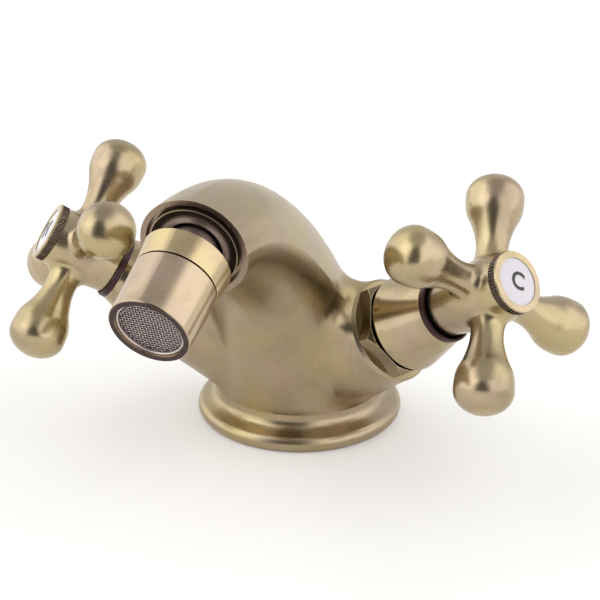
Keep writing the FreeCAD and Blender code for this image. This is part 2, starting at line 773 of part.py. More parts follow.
def index_ring(handle):
    """Knurled cap ring with a plain bright bezel, which holds the index disc."""
    back = handle + HUB_TOP + FACE_GAP
    front = handle + INDEX_FRONT
    bezel_back = front - INDEX_BEZEL_H
    corners = []
    for index in range(2 * KNURL_COUNT + 1):
        radius = INDEX_R - KNURL_DEPTH * (index % 2)
        angle = math.pi * index / KNURL_COUNT
        corners.append(Vector(radius * math.cos(angle), radius * math.sin(angle), back))
    knurled = Part.Face(Part.makePolygon(corners)).extrude(Vector(0, 0, bezel_back - back))
    bezel = turned(
        [
            (0, bezel_back),
            (INDEX_R - KNURL_DEPTH, bezel_back),
            (INDEX_R, bezel_back + INDEX_BEZEL_EDGE),
            (INDEX_R - INDEX_BEZEL_EDGE, front),
            (0, front),
        ]
    )
    spigot = rod(HUB_SOCKET_R - FACE_GAP, back - INDEX_SPIGOT_H, back)
    recess = rod(INDEX_DISC_R + FACE_GAP, front - INDEX_LIP - INDEX_DISC_H, front + OVERSHOOT)
    hole = rod(INDEX_DISC_R - INDEX_LEDGE, back - INDEX_SPIGOT_H - OVERSHOOT, front)
    return knurled.fuse([bezel, spigot]).cut(recess).cut(hole)


def index_disc(handle):
    """Slightly domed disc, held in the index ring."""
    edge = handle + INDEX_FRONT - INDEX_LIP
    low = edge - INDEX_DISC_H + FACE_GAP
    crown = edge + INDEX_DISC_CROWN
    edges = [
        line((0, low), (INDEX_DISC_R, low)),
        line((INDEX_DISC_R, low), (INDEX_DISC_R, edge)),
        arc((INDEX_DISC_R, edge), (INDEX_DISC_R / 2, edge + INDEX_DISC_HALFWAY), (POLE_R, crown)),
        line((POLE_R, crown), (0, crown)),
        line((0, crown), (0, low)),
    ]
    return turned_edges(edges)


# ================================================================ outlet, fixed pieces
def socket_seal():
    """Flat washer at the bottom of the socket, under the collar."""
    low = COLLAR_BACK - SOCKET_SEAL_H
    return tube(COLLAR_THREAD_R - SOFT_GAP, SOCKET_SEAL_INNER_R, low, COLLAR_BACK)


def spout_collar():
    """Screwed collar in the neck's end, with the ball's round seat and a dished front."""
    seat_r = BALL_R + 2 * SLIP_GAP + SLIP_WALL
    dish = (math.sqrt(seat_r**2 - COLLAR_DISH_AT**2), COLLAR_DISH_AT)
    bore = (COLLAR_BORE_R, -math.sqrt(seat_r**2 - COLLAR_BORE_R**2))
    rim = (COLLAR_R - COLLAR_RIM_W, COLLAR_FRONT)
    dish_middle = (rim[0] - COLLAR_DISH_W, (rim[1] + dish[1]) / 2 - COLLAR_DISH_SAG)
    back = COLLAR_BACK + FACE_GAP
    edges = [
        line((COLLAR_BORE_R, back), (COLLAR_THREAD_R, back)),
        line((COLLAR_THREAD_R, back), (COLLAR_THREAD_R, COLLAR_THREAD_FRONT)),
        line((COLLAR_THREAD_R, COLLAR_THREAD_FRONT), (COLLAR_R, COLLAR_THREAD_FRONT)),
        line((COLLAR_R, COLLAR_THREAD_FRONT), (COLLAR_R, COLLAR_FRONT)),
        line((COLLAR_R, COLLAR_FRONT), rim),
        arc(rim, dish_middle, dish),
        arc(dish, (seat_r, 0), bore),
        line(bore, (COLLAR_BORE_R, back)),
    ]
    return turned_edges(edges)


# ================================================================ outlet, moving pieces
def ball_slip_ring():
    """Thin round-faced ring between the ball and its seat."""
    inner = BALL_R + SLIP_GAP
    outer = inner + SLIP_WALL
    return ball_zone(outer, -SLIP_HALF, SLIP_HALF).cut(Part.makeSphere(inner))


def swivel_ball():
    """Hollow ball with its stem, flange and threaded end for the aerator."""
    ball = ball_zone(BALL_R, -BALL_FLAT, BALL_R)
    stem = turned(
        [
            (0, 0),
            (STEM_R, 0),
            (STEM_R, STEM_FLANGE_AT),
            (STEM_FLANGE_R, STEM_FLANGE_AT),
            (STEM_FLANGE_R, STEM_FLANGE_AT + STEM_FLANGE_H),
            (STEM_END_R, STEM_FLANGE_AT + STEM_FLANGE_H),
            (STEM_END_R, STEM_END),
            (0, STEM_END),
        ]
    )
    return ball.fuse([stem]).cut(rod(BALL_BORE_R, -BALL_R - OVERSHOOT, STEM_END + OVERSHOOT))


def swivel_ring():
    """Bright skirt ring round the ball's stem, open at the back."""
    inner_back = SWIVEL_BACK_R - SWIVEL_WALL
    inner_front = STEM_FLANGE_R + FACE_GAP
    return turned(
        [
            (inner_back, SWIVEL_BACK),
            (SWIVEL_BACK_R, SWIVEL_BACK),
            (SEAM_R, SEAM_AT),
            (inner_front, SEAM_AT),
            (inner_front, STEM_FLANGE_AT),
            (inner_back, STEM_FLANGE_AT - SWIVEL_STEP),
        ]
    )


def aerator_shell():
    """Tapered outer shell, threaded on the stem and bored for the aerator's inside."""
    start = SEAM_AT + SEAM_GAP
    bore_start = STEM_END + FACE_GAP
    thread_r = STEM_END_R + FACE_GAP
    return turned(
        [
            (thread_r, start),
            (SEAM_R - SHELL_EDGE, start),
            (SEAM_R, start + SHELL_EDGE),
            (SHELL_END_R, SHELL_END - SHELL_EDGE),
            (SHELL_END_R - SHELL_EDGE, SHELL_END),
            (SHELL_BORE_R, SHELL_END),
            (SHELL_BORE_R, bore_start),
            (thread_r, bore_start),
        ]
    )


def aerator_washer():
    """Rubber washer between the stem and the aerator's insert."""
    low = STEM_END + FACE_GAP
    return tube(INSIDE_R, INSERT_BORE_R, low, low + AERATOR_WASHER_H)


def aerator_insert():
    """Cartridge that carries the mesh, with a bore and a perforated throttle plate."""
    low = STEM_END + AERATOR_WASHER_H + 2 * FACE_GAP
    high = MESH_BACK - FACE_GAP
    plate_high = low + THROTTLE_H
    shell = tube(INSIDE_R, INSERT_BORE_R, low, high)
    plate = rod(INSERT_BORE_R, low, plate_high)
    holes = []
    for index in range(THROTTLE_HOLES):
        angle = 2 * math.pi * index / THROTTLE_HOLES
        x = THROTTLE_PITCH_R * math.cos(angle)
        y = THROTTLE_PITCH_R * math.sin(angle)
        centre = Vector(x, y, low - OVERSHOOT)
        holes.append(Part.makeCylinder(THROTTLE_HOLE_R, THROTTLE_H + 2 * OVERSHOOT, centre))
    return shell.fuse([plate]).cut(holes)


def mesh_hole(column, row):
    """Square gap of the mesh at one place of its grid, as a closed wire."""
    half = (MESH_PITCH - MESH_WIRE) / 2
    x = column * MESH_PITCH
    y = row * MESH_PITCH
    corners = [
        Vector(x - half, y - half, MESH_BACK),
        Vector(x - half, y + half, MESH_BACK),
        Vector(x + half, y + half, MESH_BACK),
        Vector(x + half, y - half, MESH_BACK),
    ]
    return Part.makePolygon(corners + [corners[0]])


def aerator_mesh():
    """Flat woven screen as one holed disc, clamped under its rim ring."""
    outline = Part.Wire(Part.Circle(Vector(0, 0, MESH_BACK), Vector(0, 0, 1), INSIDE_R).toShape())
    clear_r = INSIDE_R - MESH_RIM_W - MESH_PITCH / 2
    reach = int(clear_r / MESH_PITCH) + 1
    holes = []
    for column in range(-reach, reach + 1):
        for row in range(-reach, reach + 1):
            if math.hypot(column, row) * MESH_PITCH < clear_r:
                holes.append(mesh_hole(column, row))
    print(f"mesh gaps: {len(holes)}")
    return Part.Face([outline] + holes).extrude(Vector(0, 0, MESH_THICKNESS))


def mesh_rim():
    """Pale ring that holds the screen, set back inside the shell's end."""
    low = MESH_FRONT + FACE_GAP
    high = SHELL_END - MESH_RECESS
    inner = INSIDE_R - MESH_RIM_W
    middle = (INSIDE_R + inner) / 2
    edges = [
        line((inner, low), (INSIDE_R, low)),
        line((INSIDE_R, low), (INSIDE_R, high - MESH_RIM_ROUND)),
        arc((INSIDE_R, high - MESH_RIM_ROUND), (middle, high), (inner, high - MESH_RIM_ROUND)),
        line((inner, high - MESH_RIM_ROUND), (inner, low)),
    ]
    return turned_edges(edges)


# ================================================================ assembly
def valve_pieces(name, side, handle, phase):
    """Every piece of one valve, in the casting's frame, under names that start with its own."""
    fixed = {
        "headwork": headwork(),
        "headwork_seal": headwork_seal(),
        "locknut": locknut(),
        "sleeve": sleeve(),
        "sleeve_ring": sleeve_ring(),
    }
    moving = {
        "valve_washer": valve_washer(handle),
        "jumper": jumper(handle),
        "spindle": spindle(handle),
        "spindle_seal": spindle_seal(handle),
        "cross_handle": cross_handle(handle, phase),
        "handle_screw": handle_screw(handle),
        "index_ring": index_ring(handle),
        "index_disc": index_disc(handle),
    }
    frame = valve_frame(side)
    return {f"{name}_{key}": placed(shape, frame) for key, shape in (fixed | moving).items()}


def outlet_pieces():
    """Every piece of the ball-jointed outlet, in the casting's frame."""
    in_socket = {
        "socket_seal": socket_seal(),
        "spout_collar": spout_collar(),
        "ball_slip_ring": ball_slip_ring(),
    }
    in_nozzle = {
        "swivel_ball": swivel_ball(),
        "swivel_ring": swivel_ring(),
        "aerator_shell": aerator_shell(),
        "aerator_washer": aerator_washer(),
        "aerator_insert": aerator_insert(),
        "aerator_mesh": aerator_mesh(),
        "mesh_rim": mesh_rim(),
    }
    pieces = {name: placed(shape, SOCKET_FRAME) for name, shape in in_socket.items()}
    pieces.update({name: placed(shape, NOZZLE_FRAME) for name, shape in in_nozzle.items()})
    return pieces


def main():
    """Build and write every piece."""
    pieces = {"mixer_body": mixer_body(), "base_gasket": base_gasket()}
    pieces.update(valve_pieces("cold", 1, COLD_HANDLE, COLD_PHASE))
    pieces.update(valve_pieces("hot", -1, CLOSED_HANDLE, -HOT_PHASE))
    pieces.update(outlet_pieces())
    for name, shape in pieces.items():
        export(shape, name)


if __name__ == "__main__":
    main()
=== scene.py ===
"""Looks, studio and camera of a two-handle deck mixer tap in brushed antique brass.

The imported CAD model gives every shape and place.  This file dresses each piece in the
finish of the real one, weaves the outlet's screen, letters the two index discs and sets
the tap on a pale floor in soft light.  Lengths are metres unless a name ends in _mm.
"""

import logging
import math
from dataclasses import dataclass
from enum import Enum
from typing import Sequence

import bmesh
import bpy
from mathutils import Matrix, Vector


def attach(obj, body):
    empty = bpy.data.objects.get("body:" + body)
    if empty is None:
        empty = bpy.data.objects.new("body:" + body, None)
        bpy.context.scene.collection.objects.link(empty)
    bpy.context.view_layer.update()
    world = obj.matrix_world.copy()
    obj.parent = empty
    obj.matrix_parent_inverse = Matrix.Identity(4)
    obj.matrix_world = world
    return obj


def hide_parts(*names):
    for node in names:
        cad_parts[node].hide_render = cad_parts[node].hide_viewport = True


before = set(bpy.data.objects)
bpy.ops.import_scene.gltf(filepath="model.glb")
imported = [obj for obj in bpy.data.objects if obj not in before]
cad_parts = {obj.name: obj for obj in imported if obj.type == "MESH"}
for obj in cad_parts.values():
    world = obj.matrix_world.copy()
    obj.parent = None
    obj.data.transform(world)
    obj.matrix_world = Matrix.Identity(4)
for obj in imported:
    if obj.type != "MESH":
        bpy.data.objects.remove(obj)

LOG = logging.getLogger("mixer_tap")
MM = 0.001
# Most of a noise texture's values lie between these two.
NOISE_SPAN = (0.3, 0.7)


class Grain(Enum):
    """Which way the brushing lines run on a piece, in the piece's own frame."""

    AROUND = "around the piece's Z axis, as on a lathe"
    IN_PLANE = "in planes square to X, as along a bent neck"
    CROSS = "along each of four arms on X and Y"


class Side(Enum):
    """The tap's two valves: the sign of X and the letter on the index disc."""

    COLD = (1, "C")
    HOT = (-1, "H")

    @property
    def sign(self) -> int:
        """+1 on the cold side, -1 on the hot side."""
        return self.value[0]

    @property
    def letter(self) -> str:
        """Plain letter for the index disc."""
        return self.value[1]

    @property
    def prefix(self) -> str:
        """Start of this valve's node and body names."""
        return self.name.lower()


# ------------------------------------------------------------------ shared helpers
def linear(hex_code: str) -> tuple[float, float, float, float]:
    """Turns an sRGB hex colour into the linear RGBA that a shader socket takes.

    Args:
        hex_code: Six hex digits after a "#".

    Returns:
        Linear red, green, blue and an alpha of 1.
    """
    channels = [int(hex_code[start : start + 2], 16) / 255 for start in (1, 3, 5)]
    curve = [c / 12.92 if c <= 0.04045 else ((c + 0.055) / 1.055) ** 2.4 for c in channels]
    return (curve[0], curve[1], curve[2], 1.0)


def add_node(
    tree: bpy.types.NodeTree,
    kind: str,
    settings: dict | None = None,
    links: dict | None = None,
) -> bpy.types.Node:
    """Adds one node to a tree, with its settings and its incoming links.

    Args:
        tree: Node tree that gets the node.
        kind: Blender's type name of the node.
        settings: Property names, or input names and indices, with their values.
        links: Input names or indices, with the output sockets that feed them.

    Returns:
        The new node.
    """
    node = tree.nodes.new(kind)
    for key, value in (settings or {}).items():
        if isinstance(key, str) and hasattr(node, key):
            setattr(node, key, value)
        else:
            node.inputs[key].default_value = value
    for key, output in (links or {}).items():
        tree.links.new(output, node.inputs[key])
    return node


def largest(
    tree: bpy.types.NodeTree, strengths: Sequence[bpy.types.NodeSocket]
) -> bpy.types.NodeSocket:
    """Takes the largest of several strengths at each point.

    Args:
        tree: Node tree.
        strengths: Output sockets, one or more.

    Returns:
        Output socket of the largest.
    """
    top = strengths[0]
    for other in strengths[1:]:
        node = add_node(tree, "ShaderNodeMath", {"operation": "MAXIMUM"}, {0: top, 1: other})
        top = node.outputs[0]
    return top


def new_material(name: str) -> tuple[bpy.types.Material, bpy.types.NodeTree]:
    """Makes a node material with nothing in it.

    Args:
        name: Real material and process.

    Returns:
        The material and its empty node tree.
    """
    material = bpy.data.materials.new(name)
    material.use_nodes = True
    material.node_tree.nodes.clear()
    return material, material.node_tree


def axis_frame(origin: Sequence[float], axis: Vector, turn_deg: float = 0.0) -> Matrix:
    """Frame whose Z runs along an axis and whose X lies nearest to straight up.

    Args:
        origin: The frame's origin.
        axis: Direction of its Z.
        turn_deg: Further turn about that Z.

    Returns:
        The frame as a 4 x 4 matrix.
    """
    z_axis = axis.normalized()
    x_axis = (Vector((0, 0, 1)) - z_axis * z_axis.z).normalized()
    rotation = Matrix((x_axis, z_axis.cross(x_axis), z_axis)).transposed().to_4x4()
    spin = Matrix.Rotation(math.radians(turn_deg), 4, "Z")
    return Matrix.Translation(origin) @ rotation @ spin


def dress(nodes: Sequence[str], material: bpy.types.Material) -> None:
    """Gives CAD nodes their finish.

    Args:
        nodes: Names of the CAD nodes.
        material: The finish.
    """
    for name in nodes:
        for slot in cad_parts[name].material_slots:
            slot.link = "OBJECT"
            slot.material = material


# ------------------------------------------------------------------ finishes
@dataclass(frozen=True)
class BrushedBrass:
    """Cast or turned brass, antiqued dark, then brushed back with fine abrasive.

    The brushing leaves soft streaks that blur reflections, the stain stays as a faint patina,
    corners are darkened partly by that stain and partly by painted shade, a dark end can be
    painted on as shade, and the tone drifts slowly between olive and pinkish brass.  Real
    brushing lines are too fine for the render, so these are as coarse as they need to show.

    Attributes:
        name: Real material and process.
        grain: Which way the brushing lines run.
        olive: Bare brass at the greenish end of its drift of tone.
        rosy: Bare brass at the pinkish end.
        worn: Brass rubbed bright, in brushing lines and on edges.
        stain: Dark colour of the antiquing that the brushing left, also used for the painted shade
            in corners and on dark ends.
        streak_mm: Spacing of the brushing lines.
        streak_length: Length of a line, in spacings.
        streak_span: Noise values between which a line turns to worn brass.
        streak_tone: How far it turns at most.
        streak_depth_mm: Depth of the lines.
        streak_relief: Share of that depth that bends reflections.
        cloud_mm: Size of the drift of tone.
        cloud_span: Noise values between which olive turns to rosy.
        patina_mm: Size of the patina's blotches.
        patina_span: Noise values between which a blotch darkens.
        patina: Most stain that a blotch holds.
        stain_reach_mm: How far out of a corner its darkening, stain and painted shade, reaches.
        shelter_rays: Rays that feel for a corner.
        corner_span: Openness between which that darkening fades, from sheltered to open.
        corner_stain_and_shade: Most darkening, partly patina and partly painted shade, that a
            corner holds.
        stain_line_mm: Width of the ramp where a painted dark end begins.
        end_shade: Painted shade and dark reflection on such an end.
        roughness: Roughness at the low and the high noise values.
        edge_mm: Radius over which an edge is softened.
        edge_rays: Rays that feel for an edge.
        edge_span: Agreement of true and softened normal between which wear sets in.
        edge_wear: Most wear that an edge shows.
    """

    name: str
    grain: Grain
    olive: str = "#BFAE83"
    rosy: str = "#BDA98F"
    worn: str = "#E8D5AC"
    stain: str = "#33262A"
    streak_mm: float = 0.5
    streak_length: float = 26.0
    streak_span: tuple[float, float] = (0.52, 0.72)
    streak_tone: float = 0.2
    streak_depth_mm: float = 0.002
    streak_relief: float = 0.5
    cloud_mm: float = 16.0
    cloud_span: tuple[float, float] = (0.35, 0.65)
    patina_mm: float = 11.0
    patina_span: tuple[float, float] = (0.48, 0.7)
    patina: float = 0.24
    stain_reach_mm: float = 2.2
    shelter_rays: int = 16
    corner_span: tuple[float, float] = (0.2, 0.6)
    corner_stain_and_shade: float = 0.85
    stain_line_mm: float = 0.15
    end_shade: float = 0.95
    roughness: tuple[float, float] = (0.24, 0.36)
    edge_mm: float = 0.15
    edge_rays: int = 4
    edge_span: tuple[float, float] = (0.994, 0.94)
    edge_wear: float = 0.6

    def grain_vector(
        self, tree: bpy.types.NodeTree, local: bpy.types.NodeSocket
    ) -> bpy.types.NodeSocket:
        """Stretches local coordinates so that noise on them becomes brushing lines.

        Args:
            tree: The material's node tree.
            local: Coordinates in the piece's own frame.

        Returns:
            Output socket of the stretched coordinates.
        """
        short = 1 / self.streak_length
        stretches = {
            Grain.IN_PLANE: [(1, short, short)],
            Grain.AROUND: [(1, 1, 0)],
            Grain.CROSS: [(1, short, 1), (short, 1, 1)],
        }
        drawn = [
            add_node(
                tree, "ShaderNodeVectorMath", {"operation": "MULTIPLY", 1: factors}, {0: local}
            ).outputs[0]
            for factors in stretches[self.grain]
        ]
        if self.grain is Grain.IN_PLANE:
            return drawn[0]
        parts = add_node(tree, "ShaderNodeSeparateXYZ", links={0: local}).outputs
        if self.grain is Grain.AROUND:
            radius = add_node(
                tree, "ShaderNodeVectorMath", {"operation": "LENGTH"}, {0: drawn[0]}
            )
            drift = add_node(
                tree, "ShaderNodeMath", {"operation": "MULTIPLY", 1: short}, {0: parts["X"]}
            )
            rings = add_node(
                tree,
                "ShaderNodeCombineXYZ",
                links={"X": radius.outputs["Value"], "Y": parts["Z"], "Z": drift.outputs[0]},
            )
            return rings.outputs[0]
        off_x, off_y = (
            add_node(tree, "ShaderNodeMath", {"operation": "ABSOLUTE"}, {0: parts[axis]}).outputs[0]
            for axis in ("X", "Y")
        )
        on_x_arm = add_node(
            tree, "ShaderNodeMath", {"operation": "GREATER_THAN"}, {0: off_x, 1: off_y}
        )
        mixed = add_node(
            tree,
            "ShaderNodeMix",
            {"data_type": "VECTOR"},
            {0: on_x_arm.outputs[0], 4: drawn[0], 5: drawn[1]},
        )
        return mixed.outputs[1]

    @staticmethod
    def coordinates_in(tree: bpy.types.NodeTree, placement: Matrix) -> bpy.types.NodeSocket:
        """Coordinates of the surface in another frame.

        Args:
            tree: The material's node tree.
            placement: The frame.

        Returns:
            Output socket of the coordinates.
        """
        location, rotation, _ = placement.decompose()
        world = add_node(tree, "ShaderNodeTexCoord").outputs["Object"]
        settings = {
            "vector_type": "TEXTURE",
            "Location": location,
            "Rotation": rotation.to_euler("XYZ"),
        }
        return add_node(tree, "ShaderNodeMapping", settings, {"Vector": world}).outputs[0]

    def stain_beyond(self, tree: bpy.types.NodeTree, plane: Matrix) -> bpy.types.NodeSocket:
        """Painted shade on everything beyond one plane: a dark end that stands in for shade and
        dark reflections.

        Args:
            tree: The material's node tree.
            plane: Frame whose Z = 0 is the plane, with the painted shade on its +Z side.

        Returns:
            Output socket of the painted shade's strength.
        """
        place = add_node(
            tree, "ShaderNodeSeparateXYZ", links={0: self.coordinates_in(tree, plane)}
        )
        ramp = add_node(
            tree,
            "ShaderNodeMapRange",
            {"From Min": 0.0, "From Max": self.stain_line_mm * MM, "To Max": self.end_shade},
            {"Value": place.outputs["Z"]},
        )
        return ramp.outputs[0]

    def rubbed_edge(
        self, tree: bpy.types.NodeTree, softened: bpy.types.NodeSocket
    ) -> bpy.types.NodeSocket:
        """Bright wear where handling has rubbed an edge: there the softened normal turns away.

        Args:
            tree: The material's node tree.
            softened: Normal that is rounded across edges.

        Returns:
            Output socket of the wear's strength.
        """
        surface = add_node(tree, "ShaderNodeNewGeometry").outputs["Normal"]
        agreement = add_node(
            tree, "ShaderNodeVectorMath", {"operation": "DOT_PRODUCT"}, {0: softened, 1: surface}
        )
        wear = add_node(
            tree,
            "ShaderNodeMapRange",
            {
                "From Min": self.edge_span[0],
                "From Max": self.edge_span[1],
                "To Min": 0.0,
                "To Max": self.edge_wear,
            },
            {"Value": agreement.outputs["Value"]},
        )
        return wear.outputs[0]

    def brushed_tone(
        self,
        tree: bpy.types.NodeTree,
        local: bpy.types.NodeSocket,
        streaks: bpy.types.NodeSocket,
    ) -> bpy.types.NodeSocket:
        """Colour of the bare brass: a slow drift of tone under paler brushing lines.

        Args:
            tree: The material's node tree.
            local: Coordinates in the piece's own frame.
            streaks: Noise of the brushing lines.

        Returns:
            Output socket of the colour.
        """
        clouds = add_node(
            tree,
            "ShaderNodeTexNoise",
            {"Scale": 1 / (self.cloud_mm * MM), "Detail": 2.0, "Roughness": 0.5},
            {"Vector": local},
        )
        drift = add_node(
            tree,
            "ShaderNodeMapRange",
            {"From Min": self.cloud_span[0], "From Max": self.cloud_span[1]},
            {"Value": clouds.outputs[0]},
        )
        tone = add_node(
            tree,
            "ShaderNodeMix",
            {"data_type": "RGBA", 6: linear(self.olive), 7: linear(self.rosy)},
            {0: drift.outputs[0]},
        )
        line = add_node(
            tree,
            "ShaderNodeMapRange",
            {
                "From Min": self.streak_span[0],
                "From Max": self.streak_span[1],
                "To Max": self.streak_tone,
            },
            {"Value": streaks},
        )
        brushed = add_node(
            tree,
            "ShaderNodeMix",
            {"data_type": "RGBA", 7: linear(self.worn)},
            {0: line.outputs[0], 6: tone.outputs[2]},
        )
        return brushed.outputs[2]

    def stain_left(
        self,
        tree: bpy.types.NodeTree,
        local: bpy.types.NodeSocket,
        painted_dark_end: Matrix | None,
    ) -> bpy.types.NodeSocket:
        """Stain and painted shade: patina and painted shade in corners, patina in blotches, and
        painted shade on the dark end.

        Args:
            tree: The material's node tree.
            local: Coordinates in the piece's own frame.
            painted_dark_end: Frame whose +Z side is painted dark as shade, if the piece has such an
                end.

        Returns:
            Output socket of the strength of stain and painted shade.
        """
        # Corners darkened where ambient occlusion finds shelter: partly antique patina, partly
        # painted shade.
        shelter = add_node(
            tree,
            "ShaderNodeAmbientOcclusion",
            {
                "samples": self.shelter_rays,
                "only_local": False,
                "Distance": self.stain_reach_mm * MM,
            },
        )
        corners = add_node(
            tree,
            "ShaderNodeMapRange",
            {
                "From Min": self.corner_span[0],
                "From Max": self.corner_span[1],
                "To Min": self.corner_stain_and_shade,
                "To Max": 0.0,
            },
            {"Value": shelter.outputs["AO"]},
        )
        blotches = add_node(
            tree,
            "ShaderNodeTexNoise",
            {"Scale": 1 / (self.patina_mm * MM), "Detail": 3.0, "Distortion": 0.2},
            {"Vector": local},
        )
        patina = add_node(
            tree,
            "ShaderNodeMapRange",
            {
                "From Min": self.patina_span[0],
                "From Max": self.patina_span[1],
                "To Max": self.patina,
            },
            {"Value": blotches.outputs[0]},
        )
        strengths = [corners.outputs[0], patina.outputs[0]]
        # A painted dark end adds painted shade beyond its plane.
        if painted_dark_end is not None:
            strengths.append(self.stain_beyond(tree, painted_dark_end))
        return largest(tree, strengths)

    def material(self, placement: Matrix, painted_dark_end: Matrix | None = None) -> bpy.types.Material:
        """Builds the finish for one piece.

        Args:
            placement: The piece's own frame, which the brushing lines follow.
            painted_dark_end: Frame whose +Z side is painted dark as shade, if the piece has such an
                end.

        Returns:
            The material.
        """
        material, tree = new_material(self.name)
        local = self.coordinates_in(tree, placement)
        streaks = add_node(
            tree,
            "ShaderNodeTexNoise",
            {"Scale": 1 / (self.streak_mm * MM), "Detail": 3.0, "Roughness": 0.6},
            {"Vector": self.grain_vector(tree, local)},
        ).outputs[0]
        colour = add_node(
            tree,
            "ShaderNodeMix",
            {"data_type": "RGBA", 7: linear(self.stain)},
            {
                0: self.stain_left(tree, local, painted_dark_end),
                6: self.brushed_tone(tree, local, streaks),
            },
        )
        soft_edge = add_node(
            tree, "ShaderNodeBevel", {"samples": self.edge_rays, "Radius": self.edge_mm * MM}
        )
        rubbed = add_node(
            tree,
            "ShaderNodeMix",
            {"data_type": "RGBA", 7: linear(self.worn)},
            {0: self.rubbed_edge(tree, soft_edge.outputs[0]), 6: colour.outputs[2]},
        )
        blur = add_node(
            tree,
            "ShaderNodeMapRange",
            {
                "From Min": NOISE_SPAN[0],
                "From Max": NOISE_SPAN[1],
                "To Min": self.roughness[0],
                "To Max": self.roughness[1],
            },
            {"Value": streaks},
        )
        bump = add_node(
            tree,
            "ShaderNodeBump",
            {"Strength": self.streak_relief, "Distance": self.streak_depth_mm * MM},
            {"Height": streaks, "Normal": soft_edge.outputs[0]},
        )
        shader = add_node(
            tree,
            "ShaderNodeBsdfPrincipled",
            {"Metallic": 1.0},
            {
                "Base Color": rubbed.outputs[2],
                "Roughness": blur.outputs[0],
                "Normal": bump.outputs[0],
            },
        )
        add_node(tree, "ShaderNodeOutputMaterial", links={"Surface": shader.outputs[0]})
        return material


def lathe_brass(name: str, **changes: object) -> BrushedBrass:
    """Brass turned on a lathe and brushed round its axis.

    The lines are too fine to see one by one: they smear reflections along the axis and
    leave them crisp round it, so a turned piece shows long bands.

    Args:
        name: Real material and process.
        changes: Fields that differ from the usual turned finish.

    Returns:
        The finish.
    """
    usual = {
        "streak_mm": 0.14,
        "streak_tone": 0.1,
        "streak_depth_mm": 0.004,
        "roughness": (0.15, 0.23),
    }
    return BrushedBrass(name, Grain.AROUND, **(usual | changes))


@dataclass(frozen=True)
class PlainFinish:
    """Finish of what isn't brass: rubber, acetal, steel, glazed porcelain or enamel.

    Two close tones drift over the piece and a fine bump keeps its gloss from looking
    like glass.  The shader's own IOR of 1.5 is typical of all four non-metals here.

    Attributes:
        name: Real material and process.
        first: One of the two tones.
        second: The other.
        grain_mm: Size of the fine grain.
        bump_mm: Height of the grain.
        roughness: Roughness at the low and the high noise values.
        metallic: 1 for a bare metal, or else 0.
        coat: Weight of the clear glaze.
        coat_roughness: Roughness of the glaze.
        broad_grains: Size of the drift of tone, in grains.
        relief: Share of the grain's height that bends reflections.
    """

    name: str
    first: str
    second: str
    grain_mm: float
    bump_mm: float
    roughness: tuple[float, float]
    metallic: float = 0.0
    coat: float = 0.0
    coat_roughness: float = 0.06
    broad_grains: float = 12.0
    relief: float = 0.6

    def material(self) -> bpy.types.Material:
        """Builds the finish.

        Returns:
            The material.
        """
        material, tree = new_material(self.name)
        coordinates = add_node(tree, "ShaderNodeTexCoord")
        fine = add_node(
            tree,
            "ShaderNodeTexNoise",
            {"Scale": 1 / (self.grain_mm * MM), "Detail": 3.0},
            {"Vector": coordinates.outputs["Object"]},
        )
        broad = add_node(
            tree,
            "ShaderNodeTexNoise",
            {"Scale": 1 / (self.broad_grains * self.grain_mm * MM), "Detail": 1.0},
            {"Vector": coordinates.outputs["Object"]},
        )
        tone = add_node(
            tree,
            "ShaderNodeMix",
            {"data_type": "RGBA", 6: linear(self.first), 7: linear(self.second)},
            {0: broad.outputs[0]},
        )
        blur = add_node(
            tree,
            "ShaderNodeMapRange",
            {
                "From Min": NOISE_SPAN[0],
                "From Max": NOISE_SPAN[1],
                "To Min": self.roughness[0],
                "To Max": self.roughness[1],
            },
            {"Value": fine.outputs[0]},
        )
        bump = add_node(
            tree,
            "ShaderNodeBump",
            {"Strength": self.relief, "Distance": self.bump_mm * MM},
            {"Height": fine.outputs[0]},
        )
        shader = add_node(
            tree,
            "ShaderNodeBsdfPrincipled",
            {
                "Metallic": self.metallic,
                "Coat Weight": self.coat,
                "Coat Roughness": self.coat_roughness,
            },
            {
                "Base Color": tone.outputs[2],
                "Roughness": blur.outputs[0],
                "Normal": bump.outputs[0],
            },
        )
        add_node(tree, "ShaderNodeOutputMaterial", links={"Surface": shader.outputs[0]})
        return material


# Nitrile rubber, moulded: near black, matt, with a dusty bloom.
NITRILE_RUBBER = PlainFinish(
    "nitrile_rubber_moulded", "#1B1A19", "#2A2826", 0.4, 0.01, (0.65, 0.85)
)
# Acetal, filled black and moulded: nearly black with a soft sheen.
# On the ball's slip ring the black is painted shade inside the collar's dish.
BLACK_ACETAL_AND_DISH_SHADE = PlainFinish("acetal_black_and_dish_shade", "#242021", "#2E2A2A", 0.5, 0.004, (0.4, 0.55))
# Porcelain, glazed and fired: cool white under a clear, glossy, slightly wavy glaze.
GLAZED_PORCELAIN = PlainFinish(
    "porcelain_glazed", "#DFD9DE", "#D6D0D7", 1.6, 0.004, (0.12, 0.2), coat=0.6
)
# Black enamel, fired onto the glaze: dense black, a little duller than the glaze.
FIRED_ENAMEL = PlainFinish("black_enamel_fired", "#17161A", "#242228", 0.5, 0.002, (0.2, 0.32))
# Stainless wire, drawn and woven: grey with a mauve cast, bright only on its crowns.
WOVEN_STEEL = PlainFinish(
    "stainless_wire_woven", "#C6BAB5", "#ADA09D", 0.3, 0.004, (0.3, 0.45), metallic=1.0
)
# Stainless steel, drawn into a ring: pale grey with a mauve cast and a satin rim.
DRAWN_STEEL = PlainFinish(
    "stainless_ring_drawn", "#D8CDCA", "#C4BAB7", 0.4, 0.003, (0.3, 0.42), metallic=1.0
)
# Plated steel, turned: cool grey screw head.
PLATED_STEEL = PlainFinish(
    "steel_zinc_plated", "#C6C4BE", "#B0AEA8", 0.3, 0.003, (0.25, 0.4), metallic=1.0
)


